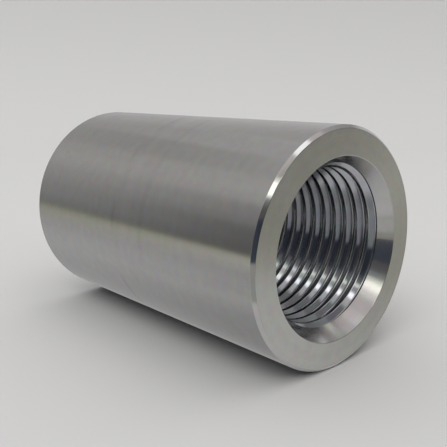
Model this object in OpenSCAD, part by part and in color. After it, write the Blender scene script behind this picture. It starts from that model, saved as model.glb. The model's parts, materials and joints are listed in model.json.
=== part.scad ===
// Coupler for reinforcing bar: one turned steel sleeve, threaded right through, that joins two threaded bar ends.
// It stands on an end face. The origin is the centre of that face, and +Z runs along the sleeve.

/* [Sleeve] */
// Outside diameter
sleeve_d = 50; // [46:0.5:60]
// Length from end face to end face
sleeve_l = 80; // [60:1:120]
// Chamfer on the outer rim of each end face, at 45 degrees
rim_chamfer = 0.7; // [0.3:0.1:1.5]

/* [Thread] */
// Major diameter of the thread
thread_d = 35.2; // [30:0.1:37]
// Pitch of the thread
thread_pitch = 3; // [2:0.5:3.5]
// Angle between the two flanks of a groove
thread_angle = 75; // [60:5:80]

/* [Mouths] */
// Diameter of each countersunk mouth where it meets the end face
mouth_d = 38; // [38:0.5:42]
// Angle between opposite sides of a mouth's cone
mouth_angle = 60; // [50:5:90]

/* [Preview] */
// Flat sides drawn around a full turn
facets = 120; // [48:12:240]

/* [Hidden] */

sleeve_r = sleeve_d / 2;
mouth_r = mouth_d / 2;

// Profile of a thread for reinforcing bar, with a root flat of an eighth of the pitch and a crest flat of a quarter
root_r = thread_d / 2;
root_flat = thread_pitch / 8;
crest_flat = thread_pitch / 4;
groove_w = thread_pitch - crest_flat;
thread_depth = (groove_w - root_flat) / 2 / tan(thread_angle / 2);
crest_r = root_r - thread_depth;

// Each mouth's cone runs in until it meets the thread's crests
mouth_depth = (mouth_r - crest_r) / tan(mouth_angle / 2);

// Grooves stand one pitch apart, with one at mid-length, and the last at each end runs out in the mouth's cone
grooves_each_way = ceil((sleeve_l / 2 - mouth_depth) / thread_pitch);

// How far a cutting shape runs past the face that it opens
over = 1;

// The plain sleeve's half section, with both rims chamfered
module blank_section() {
    polygon([
        [0, 0],
        [sleeve_r - rim_chamfer, 0],
        [sleeve_r, rim_chamfer],
        [sleeve_r, sleeve_l - rim_chamfer],
        [sleeve_r - rim_chamfer, sleeve_l],
        [0, sleeve_l]
    ]);
}

// The hole through the middle, as wide as the thread's crests leave it
module core_section() {
    translate([-over, -over]) square([crest_r + over, sleeve_l + 2 * over]);
}

// The conical mouth in the lower end face
module mouth_section() {
    cone_r_at_over = mouth_r + over * tan(mouth_angle / 2);
    polygon([[-over, -over], [cone_r_at_over, -over], [crest_r, mouth_depth], [-over, mouth_depth]]);
}

// One groove of the thread, centred on its own height
module groove_section() {
    polygon([
        [crest_r - over, -groove_w / 2],
        [crest_r, -groove_w / 2],
        [root_r, -root_flat / 2],
        [root_r, root_flat / 2],
        [crest_r, groove_w / 2],
        [crest_r - over, groove_w / 2]
    ]);
}

// The half section that the sleeve is turned to
module sleeve_section() {
    difference() {
        blank_section();
        core_section();
        mouth_section();
        translate([0, sleeve_l]) mirror([0, 1]) mouth_section();
        for (step = [-grooves_each_way : grooves_each_way])
            translate([0, sleeve_l / 2 + step * thread_pitch]) groove_section();
    }
}

module sleeve() {
    color("silver") rotate_extrude($fn = facets) sleeve_section();
}

sleeve();
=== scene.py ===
"""Dresses the rebar coupler: one turned steel sleeve with a right-hand thread cut through it.

The sleeve stands on its lower end face, with its axis along +Z. Its mesh is turned from a half section and
cut by a tap with the real helix, and each machined surface has its own finish. A sheet of white paper stands
beside the sleeve and touches its side, so that the main camera, which is rolled over, sees the sleeve lying
on it. A floor under the sleeve serves every other view.
"""

import json
import logging
import math
from dataclasses import dataclass, field
from enum import Enum

import bmesh
import bpy
from mathutils import Matrix, Vector


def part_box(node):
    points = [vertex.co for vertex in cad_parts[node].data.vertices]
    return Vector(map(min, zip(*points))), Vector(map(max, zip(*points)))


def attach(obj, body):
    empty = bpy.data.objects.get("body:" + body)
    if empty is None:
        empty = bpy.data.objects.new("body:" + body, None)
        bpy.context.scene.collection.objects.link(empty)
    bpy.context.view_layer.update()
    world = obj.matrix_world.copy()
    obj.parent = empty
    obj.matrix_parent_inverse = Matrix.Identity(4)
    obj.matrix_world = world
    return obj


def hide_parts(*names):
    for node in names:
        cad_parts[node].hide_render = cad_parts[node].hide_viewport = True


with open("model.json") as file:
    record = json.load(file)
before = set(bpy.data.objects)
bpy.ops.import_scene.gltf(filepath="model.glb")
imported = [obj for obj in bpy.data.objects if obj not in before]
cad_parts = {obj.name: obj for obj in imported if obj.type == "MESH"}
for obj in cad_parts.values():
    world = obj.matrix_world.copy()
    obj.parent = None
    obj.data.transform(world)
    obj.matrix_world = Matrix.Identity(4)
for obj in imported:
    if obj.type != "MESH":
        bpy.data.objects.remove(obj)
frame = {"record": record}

MM = 0.001
NODE = "sleeve"

log = logging.getLogger("rebar_coupler")

# Red, green, blue and an alpha of 1
Colour = tuple[float, float, float, float]

# What feeds a node's input: another node's output, or a value
Socket = bpy.types.NodeSocket
Source = Socket | float | Vector | Colour

Shape = bmesh.types.BMesh
Corner = bmesh.types.BMVert


def grey(level: float, warmth: float = 0.0) -> Colour:
    """Return a linear grey of this level, a little redder and less blue for a positive warmth."""
    return (level * (1 + warmth), level, level * (1 - warmth), 1.0)


# --- Where things stand ---------------------------------------------------------------------------------


@dataclass(frozen=True)
class TableFrame:
    """The frame of the upright sheet that the sleeve's side touches, taken as a table that it lies on.

    Attributes:
        up: unit vector out of the table's surface
        along: unit vector along the sleeve, from its lower end to its upper end
        across: unit vector over the table, at right angles to the sleeve
    """

    up: Vector
    along: Vector
    across: Vector

    @classmethod
    def facing(cls, bearing: float) -> "TableFrame":
        """Make the frame of a table whose surface faces a bearing.

        Args:
            bearing: degrees round +Z, counted from -Y towards +X

        Returns:
            The table's frame.
        """
        turn = math.radians(bearing)
        up = Vector((math.sin(turn), -math.cos(turn), 0))
        along = Vector((0, 0, 1))
        return cls(up, along, along.cross(up))

    def vector(self, up: float, across: float, along: float) -> Vector:
        """Return the vector with these parts along the table's own directions."""
        return self.up * up + self.across * across + self.along * along

    def direction(self, elevation: float, azimuth: float) -> Vector:
        """Return the unit vector at an elevation over the table and an azimuth off the sleeve, in degrees."""
        rise, turn = math.radians(elevation), math.radians(azimuth)
        return self.vector(math.sin(rise), math.cos(rise) * math.sin(turn), math.cos(rise) * math.cos(turn))


TABLE = TableFrame.facing(bearing=225)


# --- Lines, surfaces and objects ------------------------------------------------------------------------

# Corners nearer to each other than this are made one
WELD = 0.001 * MM


def draw_line(points: list[Vector], closed: bool = False) -> tuple[Shape, list[Corner]]:
    """Draw a line of straight edges.

    Args:
        points: its corners, in order
        closed: whether its last corner is joined to its first

    Returns:
        The line and its corners.
    """
    line = bmesh.new()
    corners = [line.verts.new(point) for point in points]
    ends = corners[1:] + corners[:1] if closed else corners[1:]
    for pair in zip(corners, ends):
        line.edges.new(pair)
    return line, corners


def round_corners(line: Shape, corners: list[Corner], offset: float, steps: int) -> None:
    """Round some of a line's corners.

    Args:
        line: the line
        corners: the corners to round
        offset: how far before and past a corner its rounding reaches
        steps: straight steps in each rounding
    """
    bmesh.ops.bevel(line, geom=corners, offset=offset, offset_type="OFFSET", segments=steps, profile=0.5,
                    affect="VERTICES", material=-1)


def turn_round(line: Shape, steps: int, rise: float = 0) -> None:
    """Turn a line once round +Z, so that it draws a surface.

    Args:
        line: the line
        steps: flat steps in the turn
        rise: how far the line climbs in the turn, which closes on itself where this is 0
    """
    bmesh.ops.spin(line, geom=line.verts[:] + line.edges[:], cent=(0, 0, 0), axis=(0, 0, 1),
                   dvec=(0, 0, rise / steps), angle=2 * math.pi, steps=steps, use_merge=rise == 0)


def corners_of(parts: list) -> list[Corner]:
    """Return the corners among the parts that a bmesh operator made."""
    return [part for part in parts if isinstance(part, Corner)]


def add_object(name: str, data: bpy.types.ID) -> bpy.types.Object:
    """Put an object into the scene.

    Args:
        name: its name
        data: its mesh, light or camera

    Returns:
        The object.
    """
    made = bpy.data.objects.new(name, data)
    bpy.context.collection.objects.link(made)
    return made


def add_shape(name: str, shape: Shape) -> bpy.types.Object:
    """Put a shape into the scene as an object, and free the shape.

    Args:
        name: the name of the object and of its mesh
        shape: the shape

    Returns:
        The object.
    """
    mesh = bpy.data.meshes.new(name)
    shape.to_mesh(mesh)
    shape.free()
    return add_object(name, mesh)


# --- Node trees -----------------------------------------------------------------------------------------


class Tree:
    """A node tree that is written as short calls."""

    def __init__(self, tree: bpy.types.NodeTree) -> None:
        """Empty the tree and keep it."""
        self.tree = tree
        tree.nodes.clear()

    def node(self, kind: str, inputs: dict[str | int, Source] | None = None,
             **settings: object) -> bpy.types.Node:
        """Add a node.

        Args:
            kind: the node's type, without its ShaderNode prefix where it has one
            inputs: a value or an output socket for each named or numbered input
            settings: properties of the node

        Returns:
            The new node.
        """
        full = kind if kind.startswith("Node") else "ShaderNode" + kind
        made = self.tree.nodes.new(full)
        for name, value in settings.items():
            setattr(made, name, value)
        for key, value in (inputs or {}).items():
            self.feed(made.inputs[key], value)
        return made

    def feed(self, socket: Socket, value: Source) -> None:
        """Feed an input.

        Args:
            socket: the input
            value: an output socket to link to it, or its own value
        """
        if isinstance(value, Socket):
            self.tree.links.new(value, socket)
        else:
            socket.default_value = value

    def math(self, operation: str, *values: Source) -> Socket:
        """Return the result of a Math node over values or sockets."""
        return self.node("Math", dict(enumerate(values)), operation=operation).outputs[0]

    def dot(self, first: Source, second: Source) -> Socket:
        """Return the dot product of two vectors."""
        return self.node("VectorMath", {0: first, 1: second}, operation="DOT_PRODUCT").outputs["Value"]

    def in_units(self, position: Source, unit: Source) -> Socket:
        """Return a position measured in units of this length."""
        per_unit = self.math("DIVIDE", 1.0, unit)
        return self.node("VectorMath", {"Vector": position, "Scale": per_unit}, operation="SCALE").outputs[0]

    def fade(self, value: Source, none: Source, full: Source, way: str = "SMOOTHSTEP") -> Socket:
        """Fade a mask in over a range.

        Args:
            value: the value that the mask follows
            none: the value at which the mask is 0
            full: the value at which the mask is 1
            way: how it goes from one to the other, with eased ends or LINEAR

        Returns:
            The mask.
        """
        spread = {"Value": value, "From Min": none, "From Max": full}
        return self.node("MapRange", spread, interpolation_type=way).outputs["Result"]

    def mix(self, factor: Source, first: Source, second: Source, blend: str = "MIX") -> Socket:
        """Mix two colours.

        Args:
            factor: share of the second colour, from 0 to 1
            first: the first colour
            second: the second colour
            blend: the way that the second colour is laid over the first

        Returns:
            The mixed colour.
        """
        first_colour, second_colour, mixed_colour = 6, 7, 2
        inputs = {0: factor, first_colour: first, second_colour: second}
        return self.node("Mix", inputs, data_type="RGBA", blend_type=blend).outputs[mixed_colour]

    def ramp(self, value: Source, stops: list[tuple[float, Colour]]) -> Socket:
        """Read a colour off a ramp.

        Args:
            value: the place on the ramp, from 0 to 1
            stops: the places at which the ramp has a given colour, in order

        Returns:
            The colour.
        """
        made = self.node("ValToRGB", {"Fac": value})
        elements = made.color_ramp.elements
        while len(elements) < len(stops):
            elements.new(1.0)
        for element, (position, colour) in zip(elements, stops, strict=True):
            element.position = position
            element.color = colour
        return made.outputs["Color"]

    def place(self, group: bpy.types.NodeTree, **inputs: Source) -> bpy.types.NodeOutputs:
        """Place a node group.

        Args:
            group: the group
            inputs: a value or a socket for each input, whose name has an underscore for each space

        Returns:
            The group's outputs.
        """
        made = self.node("Group", node_tree=group)
        for name, value in inputs.items():
            self.feed(made.inputs[name.replace("_", " ")], value)
        return made.outputs


class Group(Tree):
    """A shader node group with named inputs and outputs."""

    def __init__(self, name: str, inputs: dict[str, str], outputs: dict[str, str]) -> None:
        """Make an empty group.

        Args:
            name: the group's name
            inputs: a socket type, such as Float, Color or Vector, for each input's name
            outputs: the same for each output's name
        """
        super().__init__(bpy.data.node_groups.new(name, "ShaderNodeTree"))
        for way, sockets in (("INPUT", inputs), ("OUTPUT", outputs)):
            for label, kind in sockets.items():
                self.tree.interface.new_socket(label, in_out=way, socket_type="NodeSocket" + kind)
        self.inside = self.node("NodeGroupInput").outputs
        self.out = self.node("NodeGroupOutput").inputs

    def put(self, name: str, value: Source) -> None:
        """Send a socket or a value to one of the group's outputs."""
        self.feed(self.out[name], value)


# --- Effects that the finishes share --------------------------------------------------------------------


class Effects:
    """The node groups that the finishes use, each built once."""

    def __init__(self) -> None:
        """Build every group."""
        self.turning = self._turning()
        self.ring = self._ring()
        self.film = self._film()
        self.specks = self._specks()
        self.stains = self._stains()

    def _turning(self) -> bpy.types.NodeTree:
        """Build the marks that a lathe tool leaves at each turn of its feed.

        Returns:
            A group from a distance across the marks, in metres, to their height and to bands of shade, both
            from 0 to 1.
        """
        group = Group("turning_marks", {"Distance": "Float", "Feed": "Float", "Band": "Float"},
                      {"Height": "Float", "Shade": "Float"})
        distance = group.inside["Distance"]
        lines = group.math("DIVIDE", distance, group.inside["Feed"])
        broad = group.math("DIVIDE", distance, group.inside["Band"])
        fine = group.node("TexNoise", {"W": lines, "Scale": 1.0, "Detail": 2.0, "Roughness": 0.6},
                          noise_dimensions="1D")
        wide = group.node("TexNoise", {"W": broad, "Scale": 1.0, "Detail": 3.0, "Roughness": 0.55},
                          noise_dimensions="1D")
        group.put("Height", fine.outputs["Fac"])
        group.put("Shade", wide.outputs["Fac"])
        return group.tree

    def _ring(self) -> bpy.types.NodeTree:
        """Build one ring that stands out from the marks round it, worn away into arcs.

        Returns:
            A group from a distance across the marks, in metres, to a mask that is 1 in the ring's middle.
        """
        patches_per_metre = 55.0
        worn_away, whole = 0.39, 0.57
        group = Group("single_ring", {"Position": "Vector", "Distance": "Float", "Place": "Float",
                                      "Width": "Float"}, {"Mask": "Float"})
        inside = group.inside
        offset = group.math("ABSOLUTE", group.math("SUBTRACT", inside["Distance"], inside["Place"]))
        ring = group.fade(offset, inside["Width"], 0.0)
        wear = group.node("TexNoise", {"Vector": inside["Position"], "Scale": patches_per_metre,
                                       "Detail": 2.0})
        left = group.fade(wear.outputs["Fac"], worn_away, whole)
        group.put("Mask", group.math("MULTIPLY", ring, left))
        return group.tree

    def _film(self) -> bpy.types.NodeTree:
        """Build soft blotches, such as a dried film of oil leaves.

        Returns:
            A group from a position to a mask that is 0 off the blotches and 1 in them.
        """
        softness = 0.25
        group = Group("cloudy_film", {"Position": "Vector", "Size": "Float", "Cover": "Float"},
                      {"Mask": "Float"})
        scaled = group.in_units(group.inside["Position"], group.inside["Size"])
        noise = group.node("TexNoise", {"Vector": scaled, "Scale": 1.0, "Detail": 4.0, "Roughness": 0.55,
                                        "Distortion": 0.4})
        edge = group.math("SUBTRACT", 1.0, group.inside["Cover"])
        group.put("Mask", group.fade(noise.outputs["Fac"], edge, group.math("ADD", edge, softness)))
        return group.tree

    def _specks(self) -> bpy.types.NodeTree:
        """Build scattered pin-head specks, such as dust and tiny nicks.

        Returns:
            A group from a position to a mask that is 1 at the middle of each speck.
        """
        group = Group("specks", {"Position": "Vector", "Spacing": "Float", "Reach": "Float"},
                      {"Mask": "Float"})
        scaled = group.in_units(group.inside["Position"], group.inside["Spacing"])
        cells = group.node("TexVoronoi", {"Vector": scaled, "Scale": 1.0, "Randomness": 1.0})
        group.put("Mask", group.fade(cells.outputs["Distance"], group.inside["Reach"], 0.0, way="LINEAR"))
        return group.tree

    def _stains(self) -> bpy.types.NodeTree:
        """Build the faint changes of shade and tint of bare steel that has been handled.

        Returns:
            A group from a position to a colour round middle grey.
        """
        blotches_per_metre = 450.0
        group = Group("stains", {"Position": "Vector"}, {"Colour": "Color"})
        noise = group.node("TexNoise", {"Vector": group.inside["Position"], "Scale": blotches_per_metre,
                                        "Detail": 4.0})
        group.put("Colour", noise.outputs["Color"])
        return group.tree


@dataclass(frozen=True)
class Grime:
    """The dull film and the specks on the steel, which are of one kind on all its surfaces.

    Attributes:
        film_size: spacing of the blotches of a dull film, in metres
        film_colour: the film's colour
        film_strength: how far the film hides the metal where it is thickest, from 0 to 1
        film_roughness: how much rougher it makes the metal there
        speck_spacing: distance between specks, in metres
        speck_reach: radius of a speck, as a share of the spacing
        speck_colour: the specks' colour
        speck_strength: how far a speck hides the metal at its middle, from 0 to 1
    """

    film_size: float = 14 * MM
    film_colour: Colour = (0.42, 0.39, 0.35, 1.0)
    film_strength: float = 0.35
    film_roughness: float = 0.03
    speck_spacing: float = 2.6 * MM
    speck_reach: float = 0.05
    speck_colour: Colour = grey(0.22)
    speck_strength: float = 0.5


GRIME = Grime()


# --- Finishes -------------------------------------------------------------------------------------------

# Noise runs from 0 to 1, round this middle
NOISE_MIDDLE = 0.5

# Full turns from the direction round the axis, in which the tool marks run, to the one across them
ACROSS_MARKS = 0.25


class Lay(Enum):
    """The way that tool marks are spaced over a turned surface."""

    ALONG = "spaced along the sleeve, as on its side"
    OUTWARD = "spaced outward from the axis, as on an end face"


@dataclass(frozen=True)
class Ring:
    """A ring on a turned surface that is a little darker or lighter than the rest.

    Attributes:
        place: distance of its middle, measured as the tool marks are, in metres
        width: how far it fades out to each side, in metres
        shade: how much lighter it is, or darker where it is below 0
    """

    place: float
    width: float
    shade: float


@dataclass(frozen=True)
class TurnedSteel:
    """A machined finish on plain steel.

    Attributes:
        name: the material's name
        lay: the way its tool marks are spaced
        colour: the clean metal's colour
        roughness: how widely it scatters a reflection
        stretch: how much more it scatters across its marks than along them, from 0 to 1
        feed: spacing of the finest marks, in metres
        band: spacing of the broad bands of shade, in metres
        depth: height of the finest marks, in metres
        scatter: how much the roughness changes from the finest marks' tops to their bottoms
        contrast: how strongly the bands change the shade
        film: how far a dull film has spread over the surface, from 0 to 1
        mottle: how strongly stains change the metal's shade and tint, from 0 to 1
        rings: single rings that stand out from the rest
    """

    name: str
    lay: Lay
    colour: Colour = grey(0.56, 0.015)
    roughness: float = 0.25
    stretch: float = 0.6
    feed: float = 0.2 * MM
    band: float = 3 * MM
    depth: float = 0.002 * MM
    scatter: float = 0.06
    contrast: float = 0.05
    film: float = 0.3
    mottle: float = 0.14
    rings: tuple[Ring, ...] = ()

    def material(self, effects: Effects) -> bpy.types.Material:
        """Build the finish.

        Args:
            effects: the shared node groups

        Returns:
            The material.
        """
        material = bpy.data.materials.new(self.name)
        material.use_nodes = True
        tree = Tree(material.node_tree)
        position = tree.node("TexCoord").outputs["Object"]
        distance = self._distance(tree, position)
        marks = tree.place(effects.turning, Distance=distance, Feed=self.feed, Band=self.band)
        film = tree.place(effects.film, Position=position, Size=GRIME.film_size, Cover=self.film)["Mask"]

        departure = tree.math("SUBTRACT", marks["Shade"], NOISE_MIDDLE)
        shade = tree.math("MULTIPLY_ADD", departure, self.contrast / NOISE_MIDDLE, 1.0)
        for ring in self.rings:
            mask = tree.place(effects.ring, Position=position, Distance=distance, Place=ring.place,
                              Width=ring.width)["Mask"]
            shade = tree.math("MULTIPLY_ADD", mask, ring.shade, shade)

        bump = tree.node("Bump", {"Height": marks["Height"], "Distance": self.depth, "Strength": 1.0})
        tangent = tree.node("Tangent", direction_type="RADIAL", axis="Z")
        steel = tree.node("BsdfPrincipled", {
            "Base Color": self._soiled(tree, effects, position, shade, film),
            "Metallic": 1.0,
            "Roughness": self._roughness(tree, marks["Height"], film),
            "Normal": bump.outputs["Normal"],
            "Anisotropic": self.stretch,
            "Anisotropic Rotation": ACROSS_MARKS,
            "Tangent": tangent.outputs["Tangent"],
        })
        tree.node("OutputMaterial", {"Surface": steel.outputs["BSDF"]})
        return material

    def _distance(self, tree: Tree, position: Source) -> Socket:
        """Measure a position across the tool marks.

        Args:
            tree: the material's nodes
            position: the position

        Returns:
            The distance, in metres.
        """
        parts = tree.node("SeparateXYZ", {"Vector": position}).outputs
        if self.lay is Lay.ALONG:
            return parts["Z"]
        squares = [tree.math("MULTIPLY", parts[axis], parts[axis]) for axis in "XY"]
        return tree.math("SQRT", tree.math("ADD", *squares))

    def _soiled(self, tree: Tree, effects: Effects, position: Source, shade: Source, film: Source) -> Socket:
        """Lay bands, stains, film and specks over the clean metal's colour.

        Args:
            tree: the material's nodes
            effects: the shared node groups
            position: the position
            shade: what the metal's colour is multiplied by
            film: mask of the dull film

        Returns:
            The colour.
        """
        stains = tree.place(effects.stains, Position=position)["Colour"]
        specks = tree.place(effects.specks, Position=position, Spacing=GRIME.speck_spacing,
                            Reach=GRIME.speck_reach)["Mask"]
        shades = tree.node("CombineColor", {"Red": shade, "Green": shade, "Blue": shade}).outputs["Color"]
        banded = tree.mix(1.0, self.colour, shades, blend="MULTIPLY")
        mottled = tree.mix(self.mottle, banded, stains, blend="OVERLAY")
        dull = tree.mix(tree.math("MULTIPLY", film, GRIME.film_strength), mottled, GRIME.film_colour)
        return tree.mix(tree.math("MULTIPLY", specks, GRIME.speck_strength), dull, GRIME.speck_colour)

    def _roughness(self, tree: Tree, height: Source, film: Source) -> Socket:
        """Vary the roughness with the finest marks and the dull film.

        Args:
            tree: the material's nodes
            height: the marks' height, from 0 to 1
            film: mask of the film

        Returns:
            The roughness.
        """
        rough = tree.math("ADD", self.roughness, tree.math("MULTIPLY", film, GRIME.film_roughness))
        return tree.math("MULTIPLY_ADD", tree.math("SUBTRACT", height, NOISE_MIDDLE), self.scatter, rough)


# --- The sleeve -----------------------------------------------------------------------------------------


class Region(Enum):
    """The machined surfaces of the sleeve, in the order of its material slots."""

    SIDE = 0
    END = 1
    RIM = 2
    MOUTH = 3
    THREAD = 4


@dataclass
class ThreadedSleeve:
    """The sleeve, turned from a half section and cut by a tap.

    Attributes:
        radius: outside radius
        length: length from end face to end face
        crest_r: radius that the thread's crests leave open
        finishes: the finish of each machined surface
        pitch: pitch of the thread
        thread_angle: angle between the two flanks of its groove, in degrees
        thread_start: how far below the lower end face the turn that enters it starts, in pitches
        spare_turns: turns of the tap past each end face
        rim_chamfer: leg of the chamfer on each outer rim
        mouth_r: radius of each mouth where it meets the end face
        mouth_half_angle: angle between a mouth's cone and the axis, in degrees
        tap_allowance: how much narrower than the crests the body is bored, for the tap to cut away
        edge_break: how far each turned edge is broken back
        crest_round: how far the thread's corners are rounded back
        sides: flat steps in a full turn of the body
        tap_sides: flat steps in one turn of the thread
    """

    radius: float
    length: float
    crest_r: float
    finishes: dict[Region, TurnedSteel]
    pitch: float = 3 * MM
    thread_angle: float = 75
    thread_start: float = 0.39
    spare_turns: int = 2
    rim_chamfer: float = 0.7 * MM
    mouth_r: float = 19 * MM
    mouth_half_angle: float = 30
    tap_allowance: float = 1.2 * MM
    edge_break: float = 0.07 * MM
    crest_round: float = 0.16 * MM
    sides: int = 180
    tap_sides: int = 90

    @classmethod
    def from_frame(cls, finishes: dict[Region, TurnedSteel]) -> "ThreadedSleeve":
        """Take the sleeve's outside from its solid and its thread's crests from the record's mount.

        Args:
            finishes: the finish of each machined surface

        Returns:
            The sleeve.
        """
        low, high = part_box(NODE)
        mounts = {mount["name"]: mount for mount in frame["record"]["mounts"]}
        crest_r = mounts["thread_upper"]["dims"]["r_mm"] * MM
        return cls(radius=(high[0] - low[0]) / 2, length=high[2] - low[2], crest_r=crest_r, finishes=finishes)

    def build(self, effects: Effects) -> bpy.types.Object:
        """Make the sleeve and dress it.

        Args:
            effects: the shared node groups

        Returns:
            The finished piece.
        """
        body = add_shape("threaded_sleeve", self._blank())
        tap = add_shape("tap", self._tap())
        for region in Region:
            body.data.materials.append(self.finishes[region].material(effects))
        self._cut(body, tap)
        self._sort_edges(body.data)
        self._flatten_strips(body)
        return body

    def _blank(self) -> Shape:
        """Turn the body, with its chamfered rims, conical mouths and a plain bore for the tap.

        Returns:
            The closed body.
        """
        bore_r = self.crest_r - self.tap_allowance
        mouth_depth = (self.mouth_r - bore_r) / math.tan(math.radians(self.mouth_half_angle))
        half = [
            (bore_r, mouth_depth, False),
            (self.mouth_r, 0.0, True),
            (self.radius - self.rim_chamfer, 0.0, True),
            (self.radius, self.rim_chamfer, True),
        ]
        section = half + [(reach, self.length - height, broken) for reach, height, broken in reversed(half)]
        shape, corners = draw_line([Vector((reach, 0, height)) for reach, height, _ in section], closed=True)
        broken_corners = [corner for corner, (_, _, broken) in zip(corners, section, strict=True) if broken]
        round_corners(shape, broken_corners, self.edge_break, steps=2)
        turn_round(shape, self.sides)
        bmesh.ops.remove_doubles(shape, verts=shape.verts, dist=WELD)
        bmesh.ops.recalc_face_normals(shape, faces=shape.faces)
        self._name_regions(shape)
        return shape

    def _name_regions(self, shape: Shape) -> None:
        """Give each turned face its region.

        Args:
            shape: the body
        """
        straight = math.cos(math.radians(1))
        for face in shape.faces:
            middle = face.calc_center_median()
            outward = face.normal.dot(Vector((middle.x, middle.y, 0)).normalized())
            if outward > straight:
                region = Region.SIDE
            elif abs(face.normal.z) > straight:
                region = Region.END
            elif outward < 0 and middle.xy.length < self.mouth_r - self.edge_break:
                region = Region.MOUTH
            else:
                region = Region.RIM
            face.material_index = region.value

    def _tap(self) -> Shape:
        """Sweep one pitch of the thread's outline up its helix, and close both ends past the body.

        Returns:
            The closed tap.
        """
        crest_flat, root_flat = self.pitch / 4, self.pitch / 8
        depth = (self.pitch - crest_flat - root_flat) / 2 / math.tan(math.radians(self.thread_angle / 2))
        half = [(self.crest_r + depth, root_flat / 2), (self.crest_r, (self.pitch - crest_flat) / 2),
                (self.crest_r, self.pitch / 2)]
        outline = [(reach, -height) for reach, height in reversed(half)] + half
        turns = math.ceil(self.length / self.pitch) + 2 * self.spare_turns
        start = -(self.spare_turns + self.thread_start) * self.pitch
        shape, corners = draw_line([Vector((reach, 0, start + height)) for reach, height in outline])
        round_corners(shape, corners[1:-1], self.crest_round, steps=3)
        turn_round(shape, self.tap_sides, rise=self.pitch)
        first_turn = shape.verts[:] + shape.edges[:] + shape.faces[:]
        for turn in range(1, turns):
            copied = bmesh.ops.duplicate(shape, geom=first_turn)["geom"]
            bmesh.ops.translate(shape, vec=(0, 0, turn * self.pitch), verts=corners_of(copied))
        bmesh.ops.remove_doubles(shape, verts=shape.verts, dist=WELD)
        cone_length = 2 * self.pitch
        self._close_tap(shape, start - cone_length, below=True)
        self._close_tap(shape, self.length - start + cone_length, below=False)
        bmesh.ops.recalc_face_normals(shape, faces=shape.faces)
        for face in shape.faces:
            face.material_index = Region.THREAD.value
        return shape

    def _close_tap(self, shape: Shape, apex: float, below: bool) -> None:
        """Close one open end of the tap with a cone.

        Args:
            shape: the tap
            apex: height of the cone's point
            below: whether the end is the lower one
        """
        middle = self.length / 2
        open_edges = [edge for edge in shape.edges if edge.is_boundary]
        rim = [edge for edge in open_edges if (edge.verts[0].co.z < middle) == below]
        lip = bmesh.ops.extrude_edge_only(shape, edges=rim)["geom"]
        bmesh.ops.pointmerge(shape, verts=corners_of(lip), merge_co=(0, 0, apex))

    def _cut(self, body: bpy.types.Object, tap: bpy.types.Object) -> None:
        """Cut the tap out of the body and clear the tap away.

        Args:
            body: the body
            tap: the tap
        """
        cut = body.modifiers.new("tapping", "BOOLEAN")
        cut.operation = "DIFFERENCE"
        cut.solver = "MANIFOLD"
        cut.object = tap
        self._bake_modifiers(body)
        # The tap has no material, and the cut adds an empty slot for it
        body.data.materials.pop()
        bpy.data.objects.remove(tap)

    def _bake_modifiers(self, body: bpy.types.Object) -> None:
        """Put the result of the body's modifiers in its mesh.

        Args:
            body: the body
        """
        graph = bpy.context.evaluated_depsgraph_get()
        baked = bpy.data.meshes.new_from_object(body.evaluated_get(graph))
        body.modifiers.clear()
        body.data = baked
        baked.name = body.name

    def _sort_edges(self, mesh: bpy.types.Mesh) -> None:
        """Shade each surface smooth and keep the edges between surfaces sharp.

        Args:
            mesh: the body's mesh
        """
        soft = math.radians(35)
        shape = bmesh.new()
        shape.from_mesh(mesh)
        for face in shape.faces:
            face.smooth = True
        for edge in shape.edges:
            one_surface = len({face.material_index for face in edge.link_faces}) == 1
            edge.smooth = one_surface and edge.calc_face_angle(math.pi) < soft
        shape.to_mesh(mesh)
        shape.free()

    def _flatten_strips(self, body: bpy.types.Object) -> None:
        """Shade wide flat strips, such as the thread's flanks, flat up to their rounded corners.

        Args:
            body: the body
        """
        weigh = body.modifiers.new("flat_strips", "WEIGHTED_NORMAL")
        weigh.mode = "FACE_AREA"
        weigh.keep_sharp = True
        self._bake_modifiers(body)


SLEEVE_FINISHES = {
    Region.SIDE: TurnedSteel("turned_side", Lay.ALONG, roughness=0.2, stretch=1.0, film=0.35, contrast=0.03,
                             rings=(Ring(44.5 * MM, 1.2 * MM, -0.12), Ring(34 * MM, 1.6 * MM, -0.05),
                                    Ring(40 * MM, 3 * MM, 0.03))),
    Region.END: TurnedSteel("faced_end", Lay.OUTWARD, colour=(0.57, 0.572, 0.547, 1.0), roughness=0.25,
                            stretch=0.94, feed=0.15 * MM),
    Region.RIM: TurnedSteel("broken_rim", Lay.ALONG, roughness=0.11, stretch=0.6, film=0.0),
    Region.MOUTH: TurnedSteel("countersunk_mouth", Lay.OUTWARD, roughness=0.18, stretch=0.8, film=0.18),
    Region.THREAD: TurnedSteel("cut_thread", Lay.OUTWARD, colour=(0.49, 0.5, 0.525, 1.0), roughness=0.15,
                               stretch=0.85, film=0.08),
}


# --- The stage, the room and the camera -----------------------------------------------------------------


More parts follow.
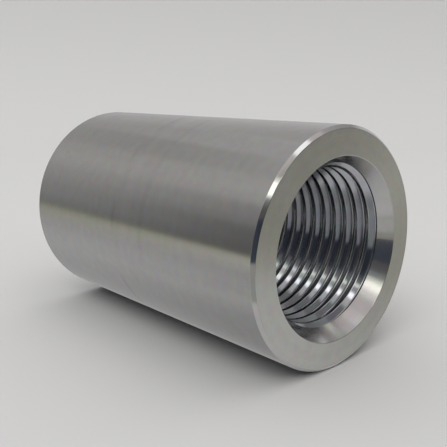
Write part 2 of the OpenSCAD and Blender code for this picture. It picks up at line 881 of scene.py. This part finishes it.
@dataclass
class Stage:
    """A sheet of white paper against the sleeve's side, which sweeps up behind it, and a floor under its end.

    Each shows from its front only. Neither shows in the sleeve's metal, which reflects the room's own paper.

    Attributes:
        half_width: how far the paper reaches to either side of the sleeve
        near: how far it reaches towards the camera
        flat: how far it lies flat before it sweeps up
        sweep_r: radius of the sweep
        sweep_steps: flat steps in the sweep
        height: how high it ends
        heading: degrees from the sleeve's axis to the direction in which it sweeps up
        colour: the paper's colour
        floor_reach: how far the floor reaches on every side
        floor_colour: the floor's colour
        floor_glow: the light that the floor gives the camera of itself
        floor_gap: how far the floor stays under the end face, so that the two never share one plane
    """

    half_width: float = 0.42
    near: float = 0.45
    flat: float = 0.5
    sweep_r: float = 0.4
    sweep_steps: int = 32
    height: float = 0.45
    heading: float = 42.6
    colour: Colour = grey(0.78, 0.004)
    floor_reach: float = 2
    floor_colour: Colour = grey(0.8)
    floor_glow: float = 0.22
    floor_gap: float = 0.05 * MM

    def build(self, radius: float) -> None:
        """Lay the paper against the sleeve and the floor under it.

        Args:
            radius: the sleeve's outside radius
        """
        paper = self._paper(radius)
        floor = self._floor()
        for sheet in (paper, floor):
            sheet.visible_glossy = False
            sheet.visible_diffuse = False
        floor.visible_shadow = False

    def _paper(self, radius: float) -> bpy.types.Object:
        """Draw the paper's edge from near the camera up the sweep, and pull it out sideways.

        Args:
            radius: the sleeve's outside radius

        Returns:
            The paper.
        """
        away = TABLE.direction(0, self.heading)
        aside = away.cross(TABLE.up)
        outline = [(-self.near, 0), (self.flat + self.sweep_r, 0), (self.flat + self.sweep_r, self.height)]
        shape, corners = draw_line([away * reach + TABLE.up * (rise - radius) for reach, rise in outline])
        round_corners(shape, [corners[1]], self.sweep_r, steps=self.sweep_steps)
        bmesh.ops.translate(shape, vec=aside * -self.half_width, verts=shape.verts)
        pulled = bmesh.ops.extrude_edge_only(shape, edges=shape.edges[:])["geom"]
        bmesh.ops.translate(shape, vec=aside * (2 * self.half_width), verts=corners_of(pulled))
        for face in shape.faces:
            face.smooth = True
            if face.normal.dot(TABLE.up - away) < 0:
                face.normal_flip()
        return self._sheet("paper", shape, self._matt("white_paper", self.colour))

    def _floor(self) -> bpy.types.Object:
        """Make the square floor.

        Returns:
            The floor.
        """
        shape = bmesh.new()
        bmesh.ops.create_grid(shape, x_segments=1, y_segments=1, size=self.floor_reach)
        bmesh.ops.translate(shape, vec=(0, 0, -self.floor_gap), verts=shape.verts)
        return self._sheet("floor", shape, self._matt("pale_floor", self.floor_colour, self.floor_glow))

    def _sheet(self, name: str, shape: Shape, material: bpy.types.Material) -> bpy.types.Object:
        """Put a sheet into the scene.

        Args:
            name: its name
            shape: its shape
            material: its material

        Returns:
            The sheet.
        """
        sheet = add_shape(name, shape)
        sheet.data.materials.append(material)
        return sheet

    def _matt(self, name: str, colour: Colour, glow: float = 0) -> bpy.types.Material:
        """Build a matt finish that is clear from behind.

        Args:
            name: the material's name
            colour: its colour
            glow: the light that it gives of itself, which no other surface sees

        Returns:
            The material.
        """
        material = bpy.data.materials.new(name)
        material.use_nodes = True
        tree = Tree(material.node_tree)
        matt = tree.node("BsdfDiffuse", {"Color": colour})
        shine = tree.node("Emission", {"Color": colour, "Strength": glow})
        lit = tree.node("AddShader", {0: matt.outputs[0], 1: shine.outputs[0]})
        clear = tree.node("BsdfTransparent")
        behind = tree.node("NewGeometry").outputs["Backfacing"]
        mix = tree.node("MixShader", {0: behind, 1: lit.outputs[0], 2: clear.outputs[0]})
        tree.node("OutputMaterial", {"Surface": mix.outputs[0]})
        return material


@dataclass(frozen=True)
class Panel:
    """A four-sided part of the room with soft edges, as the sleeve sees it.

    Attributes:
        elevation: degrees from the table up to its middle
        azimuth: degrees from the sleeve's axis to its middle
        half_width: degrees from its middle to a side
        half_height: degrees from its middle to its top
        fade: degrees over which its sides fade out
        colour: the light that it gives, past 1 where it is brighter than white paper
        brim: degrees over which its top and bottom fade out, as its sides do where it is None
        lean: degrees that it is turned in its own plane, so that its side of greater azimuth rises
    """

    elevation: float
    azimuth: float
    half_width: float
    half_height: float
    fade: float
    colour: Colour
    brim: float | None = None
    lean: float = 0

    def mask(self, tree: Tree, window: bpy.types.NodeTree, toward: Source) -> Socket:
        """Mark the panel's place in the room.

        Args:
            tree: the world's nodes
            window: the node group that masks a panel
            toward: the direction that is looked in

        Returns:
            A mask that is 1 on the panel.
        """
        middle = TABLE.direction(self.elevation, self.azimuth)
        side = Matrix.Rotation(math.radians(-self.lean), 3, middle) @ middle.cross(TABLE.up).normalized()
        brim = self.fade if self.brim is None else self.brim
        angles = {
            "Half_width": self.half_width,
            "Half_height": self.half_height,
            "Fade": self.fade,
            "Brim": brim,
        }
        sizes = {name: math.tan(math.radians(angle)) for name, angle in angles.items()}
        return tree.place(window, Toward=toward, Middle=middle, Side=side, Rise=side.cross(middle),
                          **sizes)["Mask"]


HeightStops = list[tuple[float, Colour]]


@dataclass
class Room:
    """The room round the table, as it shows in the metal and lights the paper.

    It has white paper at the bottom, brown desk past the paper's edge, and walls that are palest high up.
    Past the upper end the paper darkens straight down: painted shade, the sleeve's own shadow on the paper as
    the metal would reflect it. The half past the upper end and the half before the lower end differ, and
    panels lie over both.

    Attributes:
        backdrop: what a camera sees past the paper and the floor
        overlap: how far past the middle each half fades into the other, as the sine of an angle
        far_half: light past the upper end, by degrees above the table
        near_half: light before the lower end, by degrees above the table
        panels: windows, lamps, dark things and painted shade on the paper, each laid over the ones before it
    """

    backdrop: Colour = grey(0.55, 0.004)
    overlap: float = 0.3
    far_half: HeightStops = field(default_factory=lambda: [
        # Straight down past the upper end, painted shade: the sleeve's shadow on the paper, as the metal
        # would reflect it
        (-90, grey(0.3)),
        (-50, grey(0.33)),
        (-32, grey(0.5)),
        (-24, grey(0.54)),
        (-15, grey(0.47, 0.01)),
        (-10, (0.42, 0.425, 0.37, 1.0)),
        (-6, (0.37, 0.375, 0.3, 1.0)),
        (-4.2, (0.335, 0.34, 0.28, 1.0)),
        (-3.2, grey(0.31)),
        (3, grey(0.4)),
        (12, grey(0.43, 0.01)),
        (22, grey(0.48, 0.015)),
        (32, grey(0.43, 0.02)),
        (48, grey(0.45, 0.01)),
        (60, grey(0.5)),
        (90, grey(0.5)),
    ])
    near_half: HeightStops = field(default_factory=lambda: [
        (-90, grey(0.56)),
        (-25, grey(0.58, 0.005)),
        (-17.2, grey(0.53, 0.005)),
        (-16, (0.38, 0.37, 0.325, 1.0)),
        (-6, (0.37, 0.355, 0.305, 1.0)),
        (-1, (0.34, 0.32, 0.28, 1.0)),
        (6, grey(0.15)),
        (22, grey(0.19)),
        (29, grey(0.23)),
        (36, grey(0.36)),
        (55, grey(0.5)),
        (75, grey(0.6)),
        (90, grey(0.6)),
    ])
    # Each panel has its elevation, azimuth, half width, half height, fade and colour
    panels: list[Panel] = field(default_factory=lambda: [
        # Ahead of the main camera and round to its right, with a pale one high up
        Panel(8, 66, 38, 14, 14, grey(0.62)),
        Panel(-13, 112, 6, 8, 5, (0.57, 0.565, 0.52, 1.0)),
        Panel(-5, 139, 7, 6, 4, (0.24, 0.24, 0.215, 1.0)),
        Panel(36, 5, 16, 3, 6, grey(0.3, 0.02)),
        Panel(38, -24, 8, 2, 3, grey(0.52, 0.01)),
        Panel(41, 19, 6, 2, 4, grey(0.58)),
        Panel(66, 170, 25, 8, 8, (0.68, 0.63, 0.63, 1.0)),
        # To the camera's left
        Panel(8, -62, 10, 11, 26, grey(0.08), brim=3),
        Panel(25, -60, 9, 5, 26, grey(0.22), brim=5),
        Panel(-9, -62, 8, 1.5, 20, (0.54, 0.54, 0.5, 1.0), brim=3),
        # Painted shade: the paper beside the sleeve, darker in the sleeve's own shade, as the metal would
        # reflect it
        Panel(-26, -62, 8, 7, 20, grey(0.33), brim=6),
        # Behind it and to its right, the darkest of them just above the table
        Panel(-22, -143, 18, 13, 7, grey(0.37, 0.02), brim=4),
        Panel(-43, -167, 7, 9, 4, grey(0.25)),
        Panel(23, -130, 22, 3, 8, grey(0.12)),
        Panel(5.5, -147, 38, 14, 2, (0.055, 0.065, 0.09, 1.0)),
        Panel(4, -160, 18, 12, 4, (0.034, 0.038, 0.052, 1.0)),
        Panel(-20, -158, 9, 14, 4, (0.28, 0.285, 0.3, 1.0)),
        Panel(40, 152, 9, 6, 5, grey(0.2)),
        Panel(34, 172, 4, 6, 4, grey(0.7)),
        # Windows and lamps above, behind it and to its right, with a dark bar between two of them
        Panel(41.5, -150, 30, 6.5, 2, (1.05, 1.07, 1.0, 1.0), lean=20),
        Panel(54, -138, 8, 4.5, 3, (1.0, 0.97, 0.95, 1.0)),
        Panel(47, -132, 10, 3, 2, (1.8, 1.8, 1.65, 1.0)),
        Panel(41, -149, 8, 4, 2, (2.0, 2.0, 1.85, 1.0), lean=20),
        Panel(25, -175, 8, 1.8, 1, (1.35, 1.4, 1.2, 1.0), lean=45),
        Panel(28, -176, 6, 2, 1, grey(0.35), lean=40),
        Panel(31, 177.5, 6.5, 2, 1, grey(2.4), lean=55),
        Panel(60, 156, 6, 4, 4, grey(1.5)),
    ])

    def build(self) -> None:
        """Make the world."""
        world = bpy.data.worlds.new("room")
        bpy.context.scene.world = world
        world.use_nodes = True
        tree = Tree(world.node_tree)
        toward = tree.node("TexCoord").outputs["Generated"]
        sine = tree.dot(toward, TABLE.up)
        height = tree.math("MULTIPLY_ADD", tree.math("ARCSINE", sine), 1 / math.pi, 0.5)
        is_far = tree.fade(tree.dot(toward, TABLE.along), -self.overlap, self.overlap)
        light = tree.mix(is_far, self._by_height(tree, height, self.near_half),
                         self._by_height(tree, height, self.far_half))
        window = self._window()
        for panel in self.panels:
            light = tree.mix(panel.mask(tree, window, toward), light, panel.colour)
        seen = tree.node("LightPath").outputs["Is Camera Ray"]
        shown = tree.mix(seen, light, self.backdrop)
        tree.node("OutputWorld", {"Surface": tree.node("Background", {"Color": shown}).outputs[0]})

    def _by_height(self, tree: Tree, height: Source, stops: HeightStops) -> Socket:
        """Return the light that these stops give at a height, which runs from 0, straight down, to 1."""
        return tree.ramp(height, [(degrees / 180 + 0.5, colour) for degrees, colour in stops])

    def _window(self) -> bpy.types.NodeTree:
        """Build the mask of a four-sided panel, from its own three directions.

        Returns:
            A group whose mask is 1 on the panel and fades to 0 past its edges. Each of its sizes is the
            tangent of an angle.
        """
        in_front = 0.01
        directions = dict.fromkeys(("Toward", "Middle", "Side", "Rise"), "Vector")
        sizes = dict.fromkeys(("Half width", "Half height", "Fade", "Brim"), "Float")
        group = Group("window", directions | sizes, {"Mask": "Float"})
        inside = group.inside
        ahead = group.dot(inside["Toward"], inside["Middle"])
        mask = group.math("GREATER_THAN", ahead, in_front)
        for direction, half, fade in (("Side", "Half width", "Fade"), ("Rise", "Half height", "Brim")):
            offset = group.math("DIVIDE", group.dot(inside["Toward"], inside[direction]), ahead)
            outer = group.math("ADD", inside[half], inside[fade])
            edge = group.fade(group.math("ABSOLUTE", offset), outer, inside[half])
            mask = group.math("MULTIPLY", mask, edge)
        group.put("Mask", mask)
        return group.tree


@dataclass(frozen=True)
class Lamp:
    """A round soft lamp over the table, aimed at the sleeve.

    Attributes:
        name: the lamp's name
        elevation: degrees above the table
        azimuth: degrees from the sleeve's axis
        distance: how far it stands from the sleeve
        width: how wide it is
        power: its power in watts
    """

    name: str
    elevation: float
    azimuth: float
    distance: float
    width: float
    power: float

    def build(self, target: Vector) -> None:
        """Hang the lamp.

        Args:
            target: the point that it is aimed at
        """
        data = bpy.data.lights.new(self.name, "AREA")
        data.shape = "DISK"
        data.size = self.width
        data.energy = self.power
        lamp = add_object(self.name, data)
        lamp.visible_glossy = False
        toward = TABLE.direction(self.elevation, self.azimuth)
        lamp.location = target + toward * self.distance
        lamp.rotation_euler = toward.to_track_quat("Z", "Y").to_euler()


LAMPS = (
    Lamp("window_light", elevation=42, azimuth=-110, distance=3, width=2.6, power=25),
    Lamp("ceiling_light", elevation=88, azimuth=60, distance=3, width=8.0, power=42),
)


@dataclass(frozen=True)
class CameraRig:
    """The camera over the table, held upright against the table's own surface.

    Attributes:
        height: how far it is above the sleeve's axis, in outside radii of the sleeve
        aside: how far it is to the side of the axis, in radii
        before: how far it is before the lower end face, in radii
        heading: degrees from the sleeve's axis to its line of sight, over the table
        tilt: degrees that its line of sight dips towards the table
        lens: focal length in millimetres
        sensor: width of the frame that the lens is for, in millimetres
        nearest: how near it sees, in metres
        farthest: how far it sees, in metres
    """

    height: float = 1.281
    aside: float = 3.975
    before: float = 2.941
    heading: float = 42.57
    tilt: float = 12.29
    lens: float = 50.6
    sensor: float = 36
    nearest: float = 0.01
    farthest: float = 20

    def build(self, radius: float) -> None:
        """Stand the camera and make it the scene's own.

        Args:
            radius: the sleeve's outside radius
        """
        data = bpy.data.cameras.new("camera")
        data.lens = self.lens
        data.sensor_width = self.sensor
        data.clip_start = self.nearest
        data.clip_end = self.farthest
        camera = add_object("camera", data)
        sight = TABLE.direction(-self.tilt, self.heading)
        right = sight.cross(TABLE.up).normalized()
        place = Matrix((right, right.cross(sight), -sight)).transposed().to_4x4()
        place.translation = TABLE.vector(self.height, -self.aside, -self.before) * radius
        camera.matrix_world = place
        bpy.context.scene.camera = camera


# --- The whole ------------------------------------------------------------------------------------------


def main() -> None:
    """Build the camera, the room, the stage and the sleeve."""
    logging.basicConfig(level=logging.INFO, format="%(name)s: %(message)s")
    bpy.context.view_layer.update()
    bpy.context.scene.view_settings.view_transform = "Standard"
    bpy.context.scene.cycles.caustics_reflective = False
    sleeve = ThreadedSleeve.from_frame(SLEEVE_FINISHES)
    CameraRig().build(sleeve.radius)
    Room().build()
    Stage().build(sleeve.radius)
    for lamp in LAMPS:
        lamp.build(TABLE.along * (sleeve.length / 2))

    piece = sleeve.build(Effects())
    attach(piece, "root")
    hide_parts(NODE)
    log.info("%s: %d faces", piece.name, len(piece.data.polygons))


if __name__ == "__main__":
    main()
